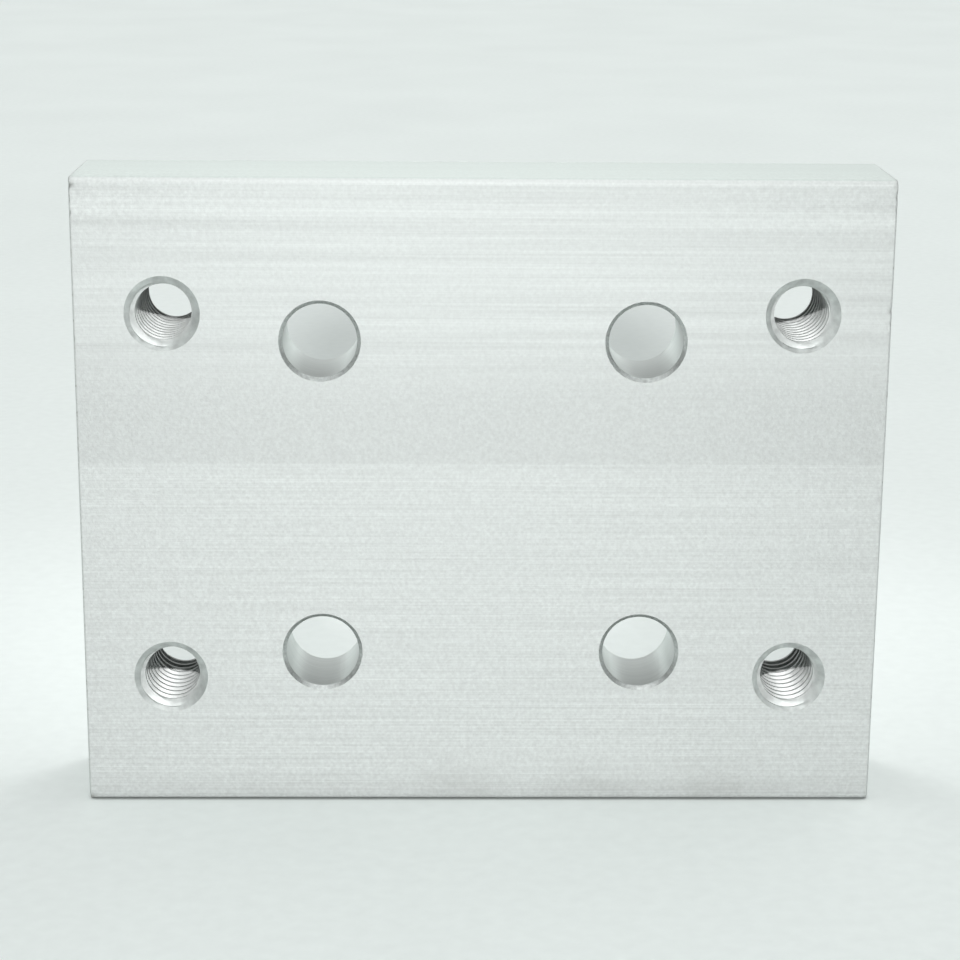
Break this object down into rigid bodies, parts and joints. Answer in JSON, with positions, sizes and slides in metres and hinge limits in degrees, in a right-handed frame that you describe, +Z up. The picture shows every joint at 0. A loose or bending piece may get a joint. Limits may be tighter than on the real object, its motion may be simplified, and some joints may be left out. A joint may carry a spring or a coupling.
{
  "type": "caster mounting plate",
  "caption": "Thick flat aluminium plate that joins a caster to a framing bar: counterbored screw holes nearer the middle for the bar, threaded holes near the ends for the caster.",
  "frame": {"origin": "centre of the lower long edge that the plate stands on, halfway through the thickness", "axes": "+X along the bar that the plate is sawn from, +Y through the thickness from the front face to the back face, +Z up"},
  "size_m": [0.0952, 0.0158, 0.0762],
  "materials": {
    "aluminium": "pale mill finish with fine drawn lines along the bar, sawn ends"
  },
  "bodies": {
    "root": {"plate": "aluminium"}
  },
  "joints": []
}
